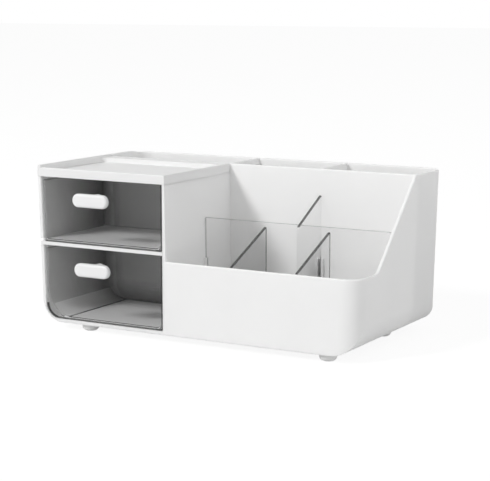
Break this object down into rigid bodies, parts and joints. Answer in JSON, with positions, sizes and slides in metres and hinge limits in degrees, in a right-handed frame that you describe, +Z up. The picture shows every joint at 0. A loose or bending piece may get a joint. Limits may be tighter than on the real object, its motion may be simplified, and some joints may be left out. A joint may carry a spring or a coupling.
{
  "type": "desk organizer with drawers",
  "caption": "Desktop organizer with smoke-clear sliding drawers under a shallow tray, an open bin with lift-out clear dividers and pen compartments behind.",
  "frame": {"origin": "centre of the footprint of the whole box, on the desk under the feet", "axes": "+X along the width to the bin's side, +Y from the drawer fronts to the back, +Z up"},
  "size_m": [0.3004, 0.173, 0.1383],
  "materials": {
    "body": "satin white moulded plastic",
    "tray": "satin white moulded plastic",
    "shelf": "satin white moulded plastic",
    "drawer": "smoke-clear moulded plastic",
    "drawer_front": "smoke-clear polished plastic",
    "handle": "soft gloss white plastic",
    "screw": "zinc plated",
    "divider": "clear polished plastic",
    "foot": "pale soft plastic"
  },
  "bodies": {
    "body": {"main_body": "body", "middle_shelf": "shelf", "top_tray": "tray", "foot_front_left": "foot", "foot_front_right": "foot", "foot_rear_left": "foot", "foot_rear_right": "foot"},
    "upper_drawer": {"upper_drawer_tray": "drawer", "upper_drawer_front": "drawer_front", "upper_handle": "handle", "upper_handle_screw": "screw"},
    "lower_drawer": {"lower_drawer_tray": "drawer", "lower_drawer_front": "drawer_front", "lower_handle": "handle", "lower_handle_screw": "screw"},
    "long_plate": {"long_divider": "divider"},
    "front_left_plate": {"front_left_divider": "divider"},
    "front_right_plate": {"front_right_divider": "divider"},
    "rear_plate": {"rear_divider": "divider"}
  },
  "joints": [
    {"name": "upper_drawer_slide", "type": "slide", "parent": "body", "child": "upper_drawer", "axis": [0, -1, 0], "range_m": [0, 0.08]},
    {"name": "lower_drawer_slide", "type": "slide", "parent": "body", "child": "lower_drawer", "axis": [0, -1, 0], "range_m": [0, 0.08]},
    {"name": "long_plate_lift", "type": "slide", "parent": "body", "child": "long_plate", "axis": [0, 0, 1], "range_m": [0, 0.06]},
    {"name": "front_left_plate_lift", "type": "slide", "parent": "body", "child": "front_left_plate", "axis": [0, 0, 1], "range_m": [0, 0.06]},
    {"name": "front_right_plate_lift", "type": "slide", "parent": "body", "child": "front_right_plate", "axis": [0, 0, 1], "range_m": [0, 0.06]},
    {"name": "rear_plate_lift", "type": "slide", "parent": "body", "child": "rear_plate", "axis": [0, 0, 1], "range_m": [0, 0.06]}
  ]
}
